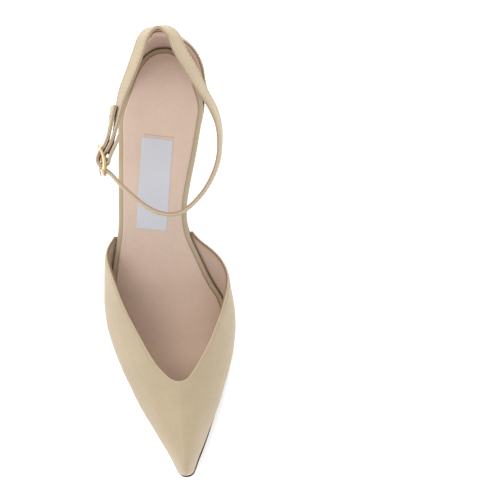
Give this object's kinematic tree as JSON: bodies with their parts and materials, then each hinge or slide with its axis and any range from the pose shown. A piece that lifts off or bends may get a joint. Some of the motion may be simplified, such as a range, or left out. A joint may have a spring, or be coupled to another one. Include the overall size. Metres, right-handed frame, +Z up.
{
  "type": "high heel pump",
  "caption": "Pointed-toe high heel pump for a right foot: closed vamp, open sides, heel cup and a buckled ankle strap.",
  "frame": {"origin": "On the ground plane under the middle of the shoe's bounding box", "axes": "+Z up, -Y towards the toe, +X towards the inner (medial) side of the right foot"},
  "size_m": [0.0742, 0.2424, 0.1424],
  "materials": {
    "upper_leather": "smooth, low sheen",
    "lining_leather": "soft, nearly matt",
    "sole_leather": "dark polished edge",
    "insole_fibreboard": "matt board",
    "cork_filler": "matt",
    "sock_foam": "matt foam",
    "label_cloth": "matt",
    "heel_plastic": "matt moulded",
    "top_piece_rubber": "matt",
    "stiffener_board": "matt",
    "steel": "plain",
    "gold_metal": "polished"
  },
  "bodies": {
    "root": {"outsole": "sole_leather", "bottom_filler": "cork_filler", "insole_board": "insole_fibreboard", "insole_binding": "upper_leather", "steel_shank": "steel", "shank_rivet_back": "steel", "shank_rivet_front": "steel", "sock_foam": "sock_foam", "sock_lining": "lining_leather", "label_patch": "label_cloth", "heel_core": "heel_plastic", "heel_cover": "upper_leather", "heel_top_piece": "top_piece_rubber", "top_piece_pin": "steel", "heel_screw": "steel", "heel_nail_1": "steel", "heel_nail_2": "steel", "heel_nail_3": "steel", "heel_nail_4": "steel", "vamp_outer": "upper_leather", "toe_puff": "stiffener_board", "vamp_lining": "lining_leather", "counter_outer": "upper_leather", "counter_stiffener": "stiffener_board", "counter_lining": "lining_leather", "ankle_strap_outer": "upper_leather", "ankle_strap_lining": "lining_leather"},
    "buckle": {"buckle_frame": "gold_metal"},
    "prong": {"buckle_prong": "gold_metal"}
  },
  "joints": [
    {"name": "buckle_swing", "type": "hinge", "parent": "root", "child": "buckle", "pos_m": [-0.02643, 0.0489, 0.135], "axis": [0, 0, -1], "range_deg": [-5, 5]},
    {"name": "prong_lift", "type": "hinge", "parent": "buckle", "child": "prong", "pos_m": [-0.02643, 0.0489, 0.135], "axis": [0, 0, -1], "range_deg": [0, 14]}
  ]
}
